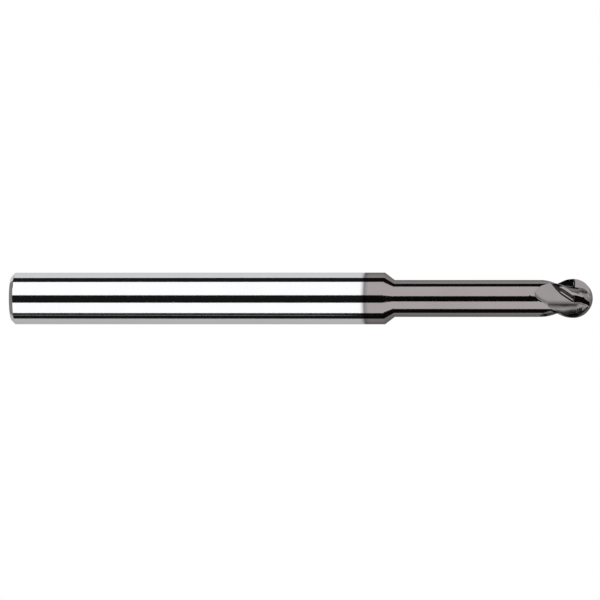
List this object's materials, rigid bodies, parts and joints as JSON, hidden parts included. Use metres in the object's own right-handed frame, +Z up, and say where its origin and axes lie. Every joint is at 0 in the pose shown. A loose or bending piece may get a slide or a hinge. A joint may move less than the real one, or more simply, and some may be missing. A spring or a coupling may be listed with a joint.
{
  "type": "end mill",
  "caption": "Long-reach ball-nose end mill: bright round shank, dark coated shoulder and slim neck, and a short fluted ball head that mills curved surfaces in deep pockets.",
  "frame": {"origin": "centre of the shank's flat back face", "axes": "+X along the tool's axis towards the ball tip, +Z up as the tool lies, -Y towards the viewer"},
  "size_m": [0.045, 0.004, 0.004],
  "materials": {
    "bare_carbide": "finely ground and bright",
    "dark_coating": "thin dark hard coating over a ground surface"
  },
  "bodies": {
    "root": {"shank": "bare_carbide", "coated_collar": "dark_coating", "shoulder_cone": "dark_coating", "reduced_neck": "dark_coating", "fluted_ball_head": "dark_coating"}
  },
  "joints": []
}
